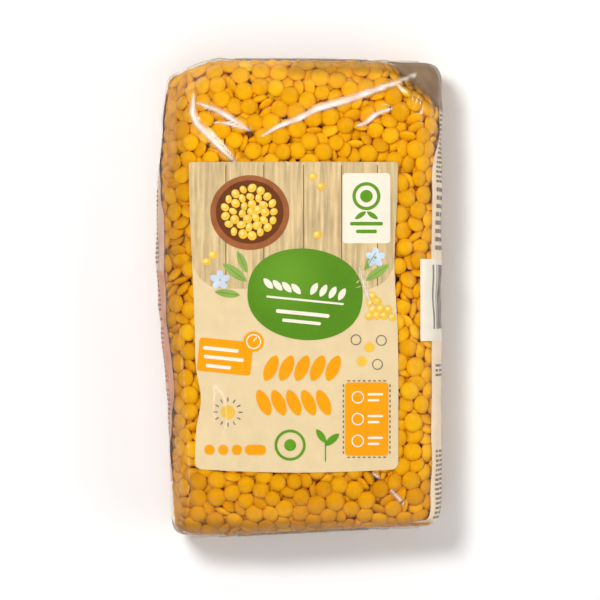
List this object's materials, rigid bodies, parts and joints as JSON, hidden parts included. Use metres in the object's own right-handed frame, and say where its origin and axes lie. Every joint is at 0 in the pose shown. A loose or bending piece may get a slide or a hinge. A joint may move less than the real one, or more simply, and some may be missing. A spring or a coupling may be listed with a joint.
{
  "type": "pack of dry lentils",
  "caption": "Sealed clear-film pack of dry yellow lentils with a printed front panel, lying on its back.",
  "frame": {"origin": "middle of the pack's footprint on the table", "axes": "+Y toward the pack's top end, +Z out of its printed front, +X to the right as the front is read"},
  "size_m": [0.0974, 0.1624, 0.0461],
  "materials": {
    "film": "clear glossy film over golden lentils",
    "lentils": "dry split-free pulse, satin",
    "print": "ink printed on the inside of the film"
  },
  "bodies": {
    "root": {"lentil_pack": "film"}
  },
  "joints": []
}
